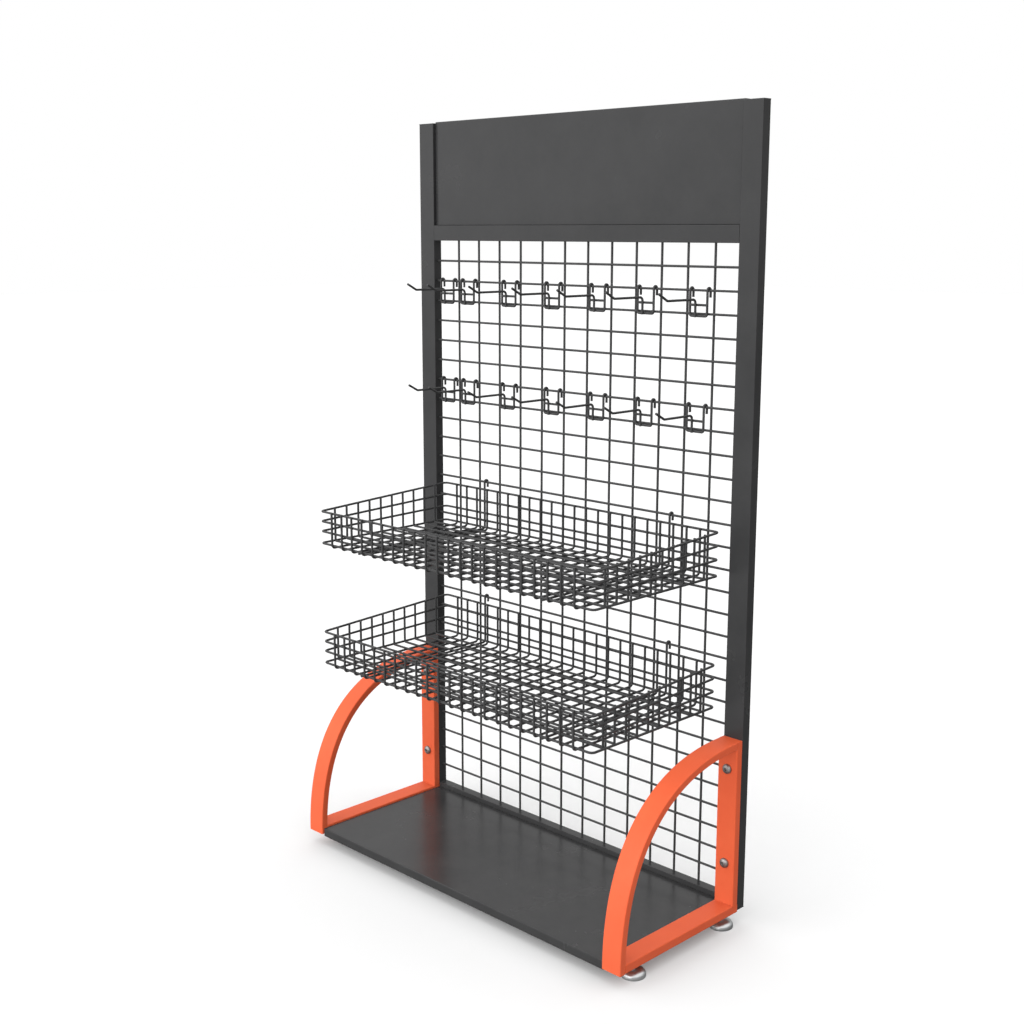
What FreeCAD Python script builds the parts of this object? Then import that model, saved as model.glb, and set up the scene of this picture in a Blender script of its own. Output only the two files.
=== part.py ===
import FreeCAD, Part
import Sketcher
import math
import os
import re

os.makedirs("parts", exist_ok=True)
doc = FreeCAD.newDocument("rack")
Vec = FreeCAD.Vector

# Driving sizes in millimetres: name, number, meaning
SIZES = [
    ("rack_width", 1045, "outside of one upright to outside of the other"),
    ("rack_depth", 435, "front of the baskets to the back of the frame"),
    ("upright_width", 51, "upright tube, side to side"),
    ("upright_depth", 24.5, "upright tube, front to back"),
    ("upright_foot", 40, "underside of the upright above the floor"),
    ("upright_top", 1795, "top of the upright tube, under its plug"),
    ("tube_wall", 1.5, "wall of every tube"),
    ("plug_flange", 2, "part of an end plug that shows"),
    ("plug_length", 14, "part of an end plug inside the tube"),
    ("plug_clearance", 0.15, "plug to tube, each side"),
    ("header_rise", 5, "top of the header above the upright tube"),
    ("rail_high_height", 37.5, "top rail, bottom to top"),
    ("rail_low_height", 20, "bottom rail, bottom to top"),
    ("header_height", 252.5, "header panel, bottom to top"),
    ("header_recess", 8, "header front behind the upright front"),
    ("header_depth", 15.5, "header pan, front to back"),
    ("sheet_thick", 1.2, "sheet of header and shelf"),
    ("cells_across", 13, "mesh cells side to side"),
    ("cells_high", 29, "mesh cells bottom to top"),
    ("wire_thick", 4.8, "wire across its flats"),
    ("mesh_front", 206.5, "centre of the level mesh wires, front to back"),
    ("support_depth", 18, "leg of the side support, front to back"),
    ("support_foot", 33, "underside of the side support"),
    ("support_top", 438.1, "top of the bent bar"),
    ("support_front", 208.1, "front of the bent bar ahead of the middle"),
    ("support_bar", 17.5, "bent bar thickness"),
    ("bend_back_reach", 246, "handle of the bend at the leg"),
    ("bend_front_reach", 266, "handle of the bend at the floor"),
    ("weld_gap", 0.3, "bent bar to the leg and the base bar"),
    ("base_height", 20, "base bar, bottom to top"),
    ("shelf_top", 48.2, "top of the base shelf"),
    ("shelf_front", 203, "shelf front ahead of the middle"),
    ("shelf_lip", 20.5, "folded edge of the shelf"),
    ("hole_clearance", 0.4, "hole over its bolt"),
    ("bolt_thick", 8, "support bolt shank"),
    ("bolt_head", 22.5, "support bolt head, across"),
    ("bolt_rim", 2.5, "straight rim of the bolt head"),
    ("bolt_shoulder", 6, "height of the bolt head shoulder"),
    ("bolt_crown", 8, "height of the bolt head"),
    ("bolt_neck", 4, "length of the square neck"),
    ("bolt_long", 34, "support bolt under its head"),
    ("bolt_low", 150, "lower bolt above the floor"),
    ("bolt_high", 372, "upper bolt above the floor"),
    ("bolt_nut_flats", 13, "nut inside the upright across flats"),
    ("bolt_nut_thick", 6.5, "nut inside the upright"),
    ("foot_nut_flats", 17, "foot nut across flats"),
    ("foot_nut_thick", 6, "foot nut"),
    ("foot_width", 55, "levelling foot pad, across"),
    ("foot_rim", 5, "straight rim of the pad"),
    ("foot_shoulder", 12.5, "height of the pad shoulder"),
    ("foot_neck", 17, "height where the stem starts"),
    ("stem_thick", 10, "foot stem"),
    ("stem_top", 47, "top of the foot stem above the floor"),
    ("foot_front_inset", 71.6, "front feet behind the front of the bent bar"),
    ("foot_back_inset", 25.5, "rear feet ahead of the upright front"),
    ("basket_half_width", 439.8, "basket ring centre line, middle to side"),
    ("basket_rise", 97.3, "top ring above the bottom ring at the back"),
    ("ring_two_rise", 67, "second ring above the bottom ring at the back"),
    ("ring_three_rise", 36.4, "third ring above the bottom ring at the back"),
    ("front_rise_share", 0.8, "front height of a ring over its back height"),
    ("ring_corner", 10, "bend of the rings"),
    ("basket_drop", 114.6, "bottom ring below the carrying wire"),
    ("basket_row", 12, "mesh row that carries the upper basket"),
    ("basket_row_step", 6, "mesh rows between the baskets"),
    ("basket_long_wires", 22, "front to back wires of a basket"),
    ("basket_cross_wires", 10, "side to side wires of a basket"),
    ("basket_long_pitch", 37.35, "between front to back wires"),
    ("basket_cross_pitch", 36, "between side to side wires"),
    ("basket_arm", 298.8, "middle to the carrying arms"),
    ("arm_tail", 13, "end of an arm below its mesh wire"),
    ("wire_clearance", 0.3, "hooked wire to mesh wire"),
    ("hang_clearance", 0.03, "hooked wire above mesh wire"),
    ("hook_row_high", 2, "mesh row of the upper hooks"),
    ("hook_row_low", 7, "mesh row of the lower hooks"),
    ("hook_side_gap", 13.27, "hook leg to the cell side, for a centred plate"),
    ("hook_drop", 54.5, "bottom of the plate below the mesh wire"),
    ("hook_cross", 31, "cross wire below the mesh wire"),
    ("hook_tail", 15, "end of a hook tail below the mesh wire"),
    ("prong_side", 5, "prong to the left of the plate middle"),
    ("prong_drop", 19.5, "level prong below the mesh wire"),
    ("prong_bend", 8, "bend of the prong"),
    ("prong_straight", 100, "mesh leg to the end of the level prong"),
    ("prong_reach", 128.5, "mesh leg to the prong tip"),
    ("prong_tip_drop", 4.5, "prong tip below the mesh wire"),
    ("hook_cell_one", -6, "mesh cell of the first plate, from the middle one"),
    ("hook_cell_two", -5, "mesh cell of the second plate"),
    ("hook_cell_three", -3, "mesh cell of the third plate"),
    ("hook_cell_four", -1, "mesh cell of the fourth plate"),
    ("hook_cell_five", 1, "mesh cell of the fifth plate"),
    ("hook_cell_six", 3, "mesh cell of the sixth plate"),
    ("hook_cell_seven", 5, "mesh cell of the seventh plate"),
    ("hook_slide_one", 3.4, "first plate to the right of its cell middle"),
    ("hook_slide_two", 4.8, "second plate to the right of its cell middle"),
    ("hook_slide_three", 5.7, "third plate to the right of its cell middle"),
    ("hook_slide_four", 4.6, "fourth plate to the right of its cell middle"),
    ("hook_slide_five", 1.7, "fifth plate to the right of its cell middle"),
    ("hook_slide_six", 0.1, "sixth plate to the right of its cell middle"),
    ("hook_slide_seven", 2.1, "seventh plate to the right of its cell middle"),
    ("low_shift_three", 4.8, "lower third plate to the left of the upper one"),
    ("low_shift_seven", 1.7, "lower seventh plate to the left of the upper one"),
]

# Sizes that follow from the ones above
DERIVED = [
    ("opening", "rack_width - 2 * upright_width", "between the uprights"),
    ("upright_middle", "(rack_width - upright_width) / 2", "middle to upright middle"),
    ("frame_back", "rack_depth / 2", "back of the frame"),
    ("frame_middle", "frame_back - upright_depth / 2", "middle of the tubes"),
    ("frame_front", "frame_back - upright_depth", "front of the frame"),
    ("leg_front", "frame_front - support_depth", "front of the support leg"),
    ("rail_high_top", "upright_top + header_rise - header_height", "top of the top rail"),
    ("rail_high_base", "rail_high_top - rail_high_height", "underside of the top rail"),
    ("rail_low_top", "upright_foot + rail_low_height", "top of the bottom rail"),
    ("mesh_high", "rail_high_base - rail_low_top", "height of the mesh"),
    ("mesh_pitch", "opening / cells_across", "between upright mesh wires"),
    ("row_pitch", "mesh_high / cells_high", "between level mesh wires"),
    ("wire_corner", "wire_thick / sqrt(3)", "wire middle to its edge"),
    ("hook_half_width", "mesh_pitch / 2 - hook_side_gap", "hook plate middle to leg"),
    ("foot_front", "foot_front_inset - support_front", "front feet, front to back"),
    ("foot_back", "frame_front - foot_back_inset", "rear feet, front to back"),
    ("leg_inside", "support_top - tube_wall", "underside of the plate that closes the leg"),
    ("base_length", "support_front + frame_front - support_bar - weld_gap", "base bar length"),
    ("base_top", "support_foot + base_height", "top of the base bar"),
]

sheet = doc.addObject("Spreadsheet::Sheet", "sizes")
for row, (alias, number, meaning) in enumerate(SIZES, start=1):
    sheet.set("A%d" % row, meaning)
    sheet.set("B%d" % row, str(number))
    sheet.setAlias("B%d" % row, alias)
for row, (alias, formula, meaning) in enumerate(DERIVED, start=len(SIZES) + 1):
    sheet.set("A%d" % row, meaning)
    sheet.set("B%d" % row, "=" + formula)
    sheet.setAlias("B%d" % row, alias)
doc.recompute()

NAMES = {line[0] for line in SIZES + DERIVED}
NODES = []


def size(alias):
    return float(sheet.get(alias))


def linked(formula):
    return re.sub(r"[a-z][a-z_]*", lambda m: "sizes." + m.group(0) if m.group(0) in NAMES else m.group(0), formula)


def place(obj, x="0", y="0", z="0", rotation=None):
    obj.Placement = FreeCAD.Placement(Vec(0, 0, 0), rotation or FreeCAD.Rotation())
    for axis, formula in zip("xyz", (x, y, z)):
        obj.setExpression("Placement.Base." + axis, linked(formula))


def node(obj, label):
    obj.Label = label
    NODES.append(obj)
    return obj


# Sketches and features
def new_body(name):
    return doc.addObject("PartDesign::Body", name)


def new_sketch(body, name, role):
    sketch = body.newObject("Sketcher::SketchObject", name)
    plane = next(part for part in body.Origin.OriginFeatures if part.Role == role)
    sketch.AttachmentSupport = (plane, [""])
    sketch.MapMode = "FlatFace"
    return sketch


def pin(sketch, geometry, point, x, y):
    for kind, formula, axis in (("DistanceX", x, -2), ("DistanceY", y, -1)):
        number = float(sketch.evalExpression(linked(formula)))
        if abs(number) < 1e-9:
            sketch.addConstraint(Sketcher.Constraint("PointOnObject", geometry, point, axis))
            continue
        if number > 0:
            where = sketch.addConstraint(Sketcher.Constraint(kind, -1, 1, geometry, point, number))
            sketch.setExpression("Constraints[%d]" % where, linked(formula))
        else:
            where = sketch.addConstraint(Sketcher.Constraint(kind, geometry, point, -1, 1, -number))
            sketch.setExpression("Constraints[%d]" % where, linked("-(" + formula + ")"))


def outline(sketch, corners):
    spots = []
    for x, y in corners:
        spots.append(Vec(float(sketch.evalExpression(linked(x))), float(sketch.evalExpression(linked(y))), 0))
    first = sketch.GeometryCount
    count = len(corners)
    for k in range(count):
        sketch.addGeometry(Part.LineSegment(spots[k], spots[(k + 1) % count]))
    for k in range(count):
        after = first + (k + 1) % count
        sketch.addConstraint(Sketcher.Constraint("Coincident", first + k, 2, after, 1))
    for k in range(count):
        pin(sketch, first + k, 1, *corners[k])


def rectangle(sketch, width, low, high):
    half = "(" + width + ") / 2"
    outline(sketch, [("-" + half, low), (half, low), (half, high), ("-" + half, high)])


def square(sketch, level, across):
    half = "(" + across + ") / 2"
    rectangle(sketch, across, level + " - " + half, level + " + " + half)


def ring(sketch, sides, across, middle="0"):
    # Even sided ring, across its flats, with a flat on each side
    corners = []
    for k in range(sides):
        turned = math.pi * (2 * k + 1) / sides
        reach = 0.5 / math.cos(math.pi / sides)
        x = "(%s) * %.6f" % (across, reach * math.cos(turned))
        y = "%s + (%s) * %.6f" % (middle, across, reach * math.sin(turned))
        corners.append((x, y))
    outline(sketch, corners)


def pad(body, sketch, length, middle=False, back=False):
    feature = body.newObject("PartDesign::Pad", sketch.Name + "_pad")
    feature.Profile = sketch
    feature.setExpression("Length", linked(length))
    feature.Midplane = middle
    feature.Reversed = back
    sketch.Visibility = False
    return feature


def cut(body, sketch, length, middle=False, back=False):
    feature = body.newObject("PartDesign::Pocket", sketch.Name + "_cut")
    feature.Profile = sketch
    feature.setExpression("Length", linked(length))
    feature.Midplane = middle
    feature.Reversed = back
    sketch.Visibility = False
    return feature


def stack(body, name, sides, levels):
    # Even sided rings at rising levels, lofted one to the next
    sketches = []
    for k, (level, across) in enumerate(levels):
        sketch = new_sketch(body, "%s_%d" % (name, k), "XY_Plane")
        sketch.setExpression("AttachmentOffset.Base.z", linked(level))
        ring(sketch, sides, across)
        sketches.append(sketch)
    doc.recompute()
    feature = body.newObject("PartDesign::AdditiveLoft", name + "_loft")
    feature.Profile = sketches[0]
    feature.Sections = sketches[1:]
    feature.Ruled = True
    return feature


def tube_section(sketch, width, low, high):
    rectangle(sketch, width, low, high)
    rectangle(sketch, width + " - 2 * tube_wall", low + " + tube_wall", high + " - tube_wall")


def group(label, members):
    gathered = doc.addObject("Part::Compound", label)
    gathered.Links = members
    return node(gathered, label)


SIDES = (("left", "-"), ("right", ""))

# Uprights with the two bolt holes in their front wall
for side, sign in SIDES:
    name = "upright_" + side
    body = new_body(name)
    sketch = new_sketch(body, name + "_section", "XY_Plane")
    tube_section(sketch, "upright_width", "-upright_depth / 2", "upright_depth / 2")
    pad(body, sketch, "upright_top - upright_foot")
    sketch = new_sketch(body, name + "_holes", "XZ_Plane")
    for level in ("bolt_low", "bolt_high"):
        square(sketch, level + " - upright_foot", "bolt_thick + hole_clearance")
    cut(body, sketch, "upright_depth", back=True)
    place(body, sign + "upright_middle", "frame_middle", "upright_foot")
    node(body, name)

# Plugs in the tube ends
for end, level, flip in (("top", "upright_top", 0), ("bottom", "upright_foot", 180)):
    for side, sign in SIDES:
        name = end + "_plug_" + side
        body = new_body(name)
        sketch = new_sketch(body, name + "_cover", "XY_Plane")
        rectangle(sketch, "upright_width", "-upright_depth / 2", "upright_depth / 2")
        pad(body, sketch, "plug_flange")
        sketch = new_sketch(body, name + "_core", "XY_Plane")
        inset = "(tube_wall + plug_clearance)"
        rectangle(sketch, "upright_width - 2 * " + inset, "-upright_depth / 2 + " + inset, "upright_depth / 2 - " + inset)
        pad(body, sketch, "plug_length", back=True)
        place(body, sign + "upright_middle", "frame_middle", level, FreeCAD.Rotation(Vec(1, 0, 0), flip))
        node(body, name)

# Rails between the uprights
body = new_body("top_rail")
sketch = new_sketch(body, "top_rail_section", "YZ_Plane")
tube_section(sketch, "upright_depth", "-rail_high_height / 2", "rail_high_height / 2")
pad(body, sketch, "opening", middle=True)
place(body, "0", "frame_middle", "rail_high_base + rail_high_height / 2")
node(body, "top_rail")

body = new_body("bottom_rail")
sketch = new_sketch(body, "bottom_rail_section", "YZ_Plane")
tube_section(sketch, "upright_depth", "-rail_low_height / 2", "rail_low_height / 2")
pad(body, sketch, "opening", middle=True)
place(body, "0", "frame_middle", "upright_foot + rail_low_height / 2")
node(body, "bottom_rail")

# Header panel, a folded pan open at the back
body = new_body("header_panel")
sketch = new_sketch(body, "header_block", "XZ_Plane")
rectangle(sketch, "opening", "0", "header_height")
pad(body, sketch, "header_depth")
sketch = new_sketch(body, "header_hollow", "XZ_Plane")
rectangle(sketch, "opening - 2 * sheet_thick", "sheet_thick", "header_height - sheet_thick")
cut(body, sketch, "header_depth - sheet_thick", back=True)
place(body, "0", "frame_front + header_recess + header_depth", "rail_high_top")
node(body, "header_panel")

# Side supports: leg, base bar and the bent bar that joins them
for side, sign in SIDES:
    name = "support_leg_" + side
    body = new_body(name)
    sketch = new_sketch(body, name + "_section", "XY_Plane")
    tube_section(sketch, "upright_width", "-support_depth / 2", "support_depth / 2")
    pad(body, sketch, "leg_inside - base_top")
    sketch = new_sketch(body, name + "_lid", "XY_Plane")
    sketch.setExpression("AttachmentOffset.Base.z", linked("leg_inside - base_top"))
    rectangle(sketch, "upright_width", "-support_depth / 2", "support_depth / 2")
    doc.recompute()
    pad(body, sketch, "tube_wall")
    sketch = new_sketch(body, name + "_holes", "XZ_Plane")
    for level in ("bolt_low", "bolt_high"):
        square(sketch, level + " - base_top", "bolt_thick + hole_clearance")
    cut(body, sketch, "2 * support_depth", middle=True)
    place(body, sign + "upright_middle", "leg_front + support_depth / 2", "base_top")
    node(body, name)

    name = "support_base_" + side
    body = new_body(name)
    sketch = new_sketch(body, name + "_section", "XZ_Plane")
    tube_section(sketch, "upright_width", "0", "base_height")
    pad(body, sketch, "base_length")
    sketch = new_sketch(body, name + "_foot_holes", "XY_Plane")
    for spot in ("foot_front", "foot_back"):
        ring(sketch, 8, "stem_thick + hole_clearance", spot + " - frame_front")
    cut(body, sketch, "1.5 * tube_wall", back=True)
    place(body, sign + "upright_middle", "frame_front", "support_foot")
    node(body, name)


def bend_points(depth, count):
    # Points of the bend curve moved inward by depth, from the leg down to the floor
    top = Vec(0, size("leg_front") - size("weld_gap"), size("support_top"))
    end = Vec(0, -size("support_front"), size("support_foot"))
    poles = (top, top - Vec(0, size("bend_back_reach"), 0), end + Vec(0, 0, size("bend_front_reach")), end)
    points = []
    for k in range(count + 1):
        t = k / count
        spot = poles[0] * (1 - t) ** 3 + poles[1] * (3 * t * (1 - t) ** 2)
        spot = spot + poles[2] * (3 * t * t * (1 - t)) + poles[3] * t ** 3
        along = (poles[1] - poles[0]) * (1 - t) ** 2 + (poles[2] - poles[1]) * (2 * t * (1 - t))
        along = (along + (poles[3] - poles[2]) * t * t).normalize()
        points.append(spot + Vec(1, 0, 0).cross(along) * depth)
    return points


def bend_face(outer_depth, inner_depth):
    # Each side of the bar is a run of arcs, as it comes off the rolls
    arcs = 3
    edges = []
    ends = []
    for depth in (outer_depth, inner_depth):
        points = bend_points(depth, 2 * arcs)
        for k in range(arcs):
            edges.append(Part.Arc(points[2 * k], points[2 * k + 1], points[2 * k + 2]).toShape())
        ends.append((points[0], points[-1]))
    edges.append(Part.makeLine(ends[0][0], ends[1][0]))
    edges.append(Part.makeLine(ends[0][1], ends[1][1]))
    return Part.Face(Part.Wire(Part.__sortEdges__(edges)))


for side, sign in SIDES:
    name = "support_arch_" + side
    made = []
    walls = (("outside", "0", 0.0, size("support_bar")),
             ("inside", "tube_wall", size("tube_wall"), size("support_bar") - size("tube_wall")))
    for tag, wall, outer_depth, inner_depth in walls:
        profile = doc.addObject("Part::Feature", name + "_" + tag + "_profile")
        profile.Shape = bend_face(outer_depth, inner_depth)
        place(profile, sign + "upright_middle - upright_width / 2 + " + wall)
        bar = doc.addObject("Part::Extrusion", name + "_" + tag)
        bar.Base = profile
        bar.DirMode = "Custom"
        bar.Dir = Vec(1, 0, 0)
        bar.Solid = True
        bar.setExpression("LengthFwd", linked("upright_width - 2 * " + wall))
        made.append(bar)
    arch = doc.addObject("Part::Cut", name)
    arch.Base, arch.Tool = made
    node(arch, name)

# Base shelf, a folded tray open underneath
body = new_body("base_shelf")
sketch = new_sketch(body, "shelf_block", "XY_Plane")
rectangle(sketch, "opening", "-(shelf_front + frame_front)", "0")
pad(body, sketch, "shelf_lip")
sketch = new_sketch(body, "shelf_hollow", "XY_Plane")
rectangle(sketch, "opening - 2 * sheet_thick", "sheet_thick - (shelf_front + frame_front)", "-sheet_thick")
cut(body, sketch, "shelf_lip - sheet_thick", back=True)
place(body, "0", "frame_front", "shelf_top - shelf_lip")
node(body, "base_shelf")


def hex_nut(name, flats, thick, bore, x, y, z, rotation=None):
    body = new_body(name)
    sketch = new_sketch(body, name + "_section", "XY_Plane")
    ring(sketch, 6, flats)
    ring(sketch, 8, bore)
    pad(body, sketch, thick)
    place(body, x, y, z, rotation)
    return body


# Bolts that hold the supports, with the nuts inside the uprights
bolts, nuts = [], []
for side, sign in SIDES:
    for level in ("bolt_low", "bolt_high"):
        name = "support_%s_%s" % (level, side)
        body = new_body(name)
        stack(body, name + "_head", 8, [("0", "bolt_head"), ("bolt_rim", "bolt_head"),
                                         ("bolt_shoulder", "bolt_head * 0.75"), ("bolt_crown", "bolt_head * 0.35")])
        sketch = new_sketch(body, name + "_neck", "XY_Plane")
        square(sketch, "0", "bolt_thick")
        pad(body, sketch, "bolt_neck", back=True)
        sketch = new_sketch(body, name + "_shank", "XY_Plane")
        ring(sketch, 8, "bolt_thick")
        pad(body, sketch, "bolt_long", back=True)
        place(body, sign + "upright_middle", "leg_front", level, FreeCAD.Rotation(Vec(1, 0, 0), 90))
        bolts.append(body)
        nuts.append(hex_nut(name + "_nut", "bolt_nut_flats", "bolt_nut_thick", "bolt_thick + hole_clearance",
                            sign + "upright_middle", "frame_front + tube_wall", level,
                            FreeCAD.Rotation(Vec(1, 0, 0), -90)))
group("support_bolts", bolts)
group("support_nuts", nuts)

# Levelling feet, their lock nuts and the nuts inside the base bars
feet, lock_nuts, inner_nuts = [], [], []
for side, sign in SIDES:
    for k, spot in enumerate(("foot_front", "foot_back")):
        name = "foot_%s_%d" % (side, k)
        body = new_body(name)
        stack(body, name + "_pad", 12, [("0", "foot_width"), ("foot_rim", "foot_width"),
                                        ("foot_shoulder", "foot_width * 0.78"), ("foot_neck", "stem_thick + 4")])
        sketch = new_sketch(body, name + "_stem", "XY_Plane")
        ring(sketch, 8, "stem_thick")
        pad(body, sketch, "stem_top")
        place(body, sign + "upright_middle", spot, "0")
        feet.append(body)
        bore = "stem_thick + hole_clearance"
        lock_nuts.append(hex_nut(name + "_lock_nut", "foot_nut_flats", "foot_nut_thick", bore,
                                 sign + "upright_middle", spot, "support_foot - foot_nut_thick"))
        inner_nuts.append(hex_nut(name + "_inner_nut", "foot_nut_flats", "foot_nut_thick", bore,
                                  sign + "upright_middle", spot, "support_foot + tube_wall"))
group("levelling_feet", feet)
group("foot_lock_nuts", lock_nuts)
group("foot_inner_nuts", inner_nuts)


# Wire work: every straight run is a six sided prism mitred into the next run
def prism(ring_a, ring_b):
    count = len(ring_a)
    faces = [Part.Face(Part.makePolygon(ring_a + ring_a[:1])), Part.Face(Part.makePolygon(ring_b + ring_b[:1]))]
    for k in range(count):
        after = (k + 1) % count
        faces.append(Part.Face(Part.makePolygon([ring_a[k], ring_a[after], ring_b[after], ring_b[k], ring_a[k]])))
    solid = Part.Solid(Part.Shell(faces))
    if solid.Volume < 0:
        solid.reverse()
    return solid


def wire(path, edge_way, closed=False):
    # edge_way is the direction of one edge of the first run, square to that run
    radius = size("wire_corner")
    count = len(path)
    runs = count if closed else count - 1
    along = [(path[(k + 1) % count] - path[k]).normalize() for k in range(runs)]
    start = Vec(edge_way).normalize()
    beside = along[0].cross(start)
    offsets = []
    for k in range(6):
        turned = math.radians(60 * k)
        offsets.append(start * (radius * math.cos(turned)) + beside * (radius * math.sin(turned)))

    def cap(k, offset, way):
        before = along[(k - 1) % runs] if (closed or k > 0) else way
        after = along[k % runs] if (closed or k < runs) else way
        mitre = (before + after).normalize()
        return offset - way * (offset.dot(mitre) / way.dot(mitre))

    solids = []
    for k in range(runs):
        way = along[k]
        near = [cap(k, offset, way) for offset in offsets]
        far = [cap(k + 1, offset, way) for offset in offsets]
        last = path[(k + 1) % count]
        solids.append(prism([path[k] + item for item in near], [last + item for item in far]))
        if k + 1 < runs:
            ahead = along[k + 1]
            offsets = [item - ahead * item.dot(ahead) for item in far]
    return solids


def eased(path, bends, closed=False):
    # Each corner with a bend becomes two corners that lie round the bend
    count = len(path)
    points = []
    for k, spot in enumerate(path):
        bend = bends[k] if isinstance(bends, (list, tuple)) else bends
        if not bend or (not closed and k in (0, count - 1)):
            points.append(spot)
            continue
        back = (path[k - 1] - spot).normalize()
        ahead = (path[(k + 1) % count] - spot).normalize()
        turned = math.pi - math.acos(max(-1, min(1, back.dot(ahead))))
        reach = bend * (math.tan(turned / 2) - math.tan(turned / 4))
        points += [spot + back * reach, spot + ahead * reach]
    return points


def wire_node(label, solids, x="0", y="0", z="0"):
    piece = doc.addObject("Part::Feature", label)
    piece.Shape = Part.makeCompound(solids)
    place(piece, x, y, z)
    return node(piece, label)


HALF = size("wire_thick") / 2
THICK = size("wire_thick")
# Hooked wires stand this far from the mesh wire, before and behind, and above it
ROUND = THICK + size("wire_clearance")
LIFT = size("wire_corner") + HALF + size("hang_clearance")
LEG = size("mesh_front") - ROUND

# Mesh of the frame: upright wires behind, level wires in front
mesh = []
mesh_low, mesh_top = size("rail_low_top"), size("rail_high_base")
for k in range(1, int(size("cells_across"))):
    x = (k - size("cells_across") / 2) * size("mesh_pitch")
    y = size("mesh_front") + THICK
    mesh += wire([Vec(x, y, mesh_low), Vec(x, y, mesh_top)], Vec(1, 0, 0))
for k in range(1, int(size("cells_high"))):
    z = mesh_top - k * size("row_pitch")
    y = size("mesh_front")
    mesh += wire([Vec(-size("opening") / 2, y, z), Vec(size("opening") / 2, y, z)], Vec(0, 0, 1))
wire_node("wire_grid", mesh)


def hooked_end(x, tail):
    # Path from the tail end behind the mesh wire, over it and down to the front
    ease = ROUND * math.tan(math.radians(22.5))
    back, front = size("mesh_front") + ROUND, LEG
    return [Vec(x, back, -tail), Vec(x, back, ease), Vec(x, size("mesh_front") + ease, LIFT),
            Vec(x, size("mesh_front") - ease, LIFT), Vec(x, front, ease)]


def basket():
    drop = size("basket_drop")
    back = LEG - THICK
    front = -(size("frame_back") - HALF)
    side = size("basket_half_width")
    share = size("front_rise_share")
    solids = []
    for rise in (0, size("ring_three_rise"), size("ring_two_rise"), size("basket_rise")):
        corners = [Vec(-side, back, rise - drop), Vec(side, back, rise - drop),
                   Vec(side, front, rise * share - drop), Vec(-side, front, rise * share - drop)]
        slope = (corners[2] - corners[1]).cross(Vec(1, 0, 0))
        solids += wire(eased(corners, size("ring_corner"), True), slope, True)
    top_back = size("basket_rise") - drop + HALF
    top_front = size("basket_rise") * share - drop + HALF
    inner_back, inner_front = back - THICK, front + THICK
    middle = (back + front) / 2
    for k in range(int(size("basket_long_wires"))):
        x = (k - (size("basket_long_wires") - 1) / 2) * size("basket_long_pitch")
        path = [Vec(x, inner_back, top_back), Vec(x, inner_back, -drop - THICK),
                Vec(x, inner_front, -drop - THICK), Vec(x, inner_front, top_front)]
        solids += wire(path, Vec(1, 0, 0))
    for k in range(int(size("basket_cross_wires"))):
        y = middle + (k - (size("basket_cross_wires") - 1) / 2) * size("basket_cross_pitch")
        top = top_back + (top_front - top_back) * (back - y) / (back - front)
        x = side - THICK
        path = [Vec(-x, y, top), Vec(-x, y, -drop), Vec(x, y, -drop), Vec(x, y, top)]
        solids += wire(path, Vec(0, 1, 0))
    for x in (-size("basket_arm"), size("basket_arm")):
        path = hooked_end(x, size("arm_tail"))
        path += eased([path[-1], Vec(x, LEG, -drop - THICK), Vec(x, front, -drop - THICK)], size("prong_bend"))[1:]
        solids += wire(path, Vec(1, 0, 0))
    return solids


def row_level(formula):
    return "rail_high_base - row_pitch * (" + formula + ")"


wire_node("basket_upper", basket(), z=row_level("basket_row"))
wire_node("basket_lower", basket(), z=row_level("basket_row + basket_row_step"))


def hook():
    half = size("hook_half_width")
    bottom = -size("hook_drop")
    near = hooked_end(-half, size("hook_tail"))
    far = hooked_end(half, size("hook_tail"))
    plate = near + [Vec(-half, LEG, bottom), Vec(half, LEG, bottom)] + far[::-1]
    solids = wire(plate, Vec(1, 0, 0))
    inner = half - size("wire_corner")
    level = -size("hook_cross")
    solids += wire([Vec(-inner, LEG, level), Vec(inner, LEG, level)], Vec(0, 0, 1))
    x, y = -size("prong_side"), LEG - THICK
    prong = [Vec(x, y, bottom - HALF), Vec(x, y, -size("prong_drop")),
             Vec(x, LEG - size("prong_straight"), -size("prong_drop")),
             Vec(x, LEG - size("prong_reach"), -size("prong_tip_drop"))]
    solids += wire(eased(prong, [0, size("prong_bend"), 0, 0]), Vec(1, 0, 0))
    return solids


PLACES = ("one", "two", "three", "four", "five", "six", "seven")
for row in ("high", "low"):
    for number, word in enumerate(PLACES, start=1):
        across = "mesh_pitch * hook_cell_%s + hook_slide_%s" % (word, word)
        if row == "low" and word in ("three", "seven"):
            across += " - low_shift_" + word
        label = "hook_%s_%d" % ("upper" if row == "high" else "lower", number)
        wire_node(label, hook(), x=across, z=row_level("hook_row_" + row))

# Checks before the files are written
doc.recompute()
for obj in doc.Objects:
    if "Invalid" in obj.State or "Error" in obj.State:
        raise RuntimeError("not built: " + obj.Name)
for obj in NODES:
    shape = obj.Shape
    if shape.isNull() or not shape.isValid() or not shape.Solids:
        raise RuntimeError("bad shape: " + obj.Label)
    shape.exportStep("parts/" + obj.Label + ".step")
print("nodes written:", len(NODES))
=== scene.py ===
import math

import bmesh
import bpy
from mathutils import Matrix, Vector


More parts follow.
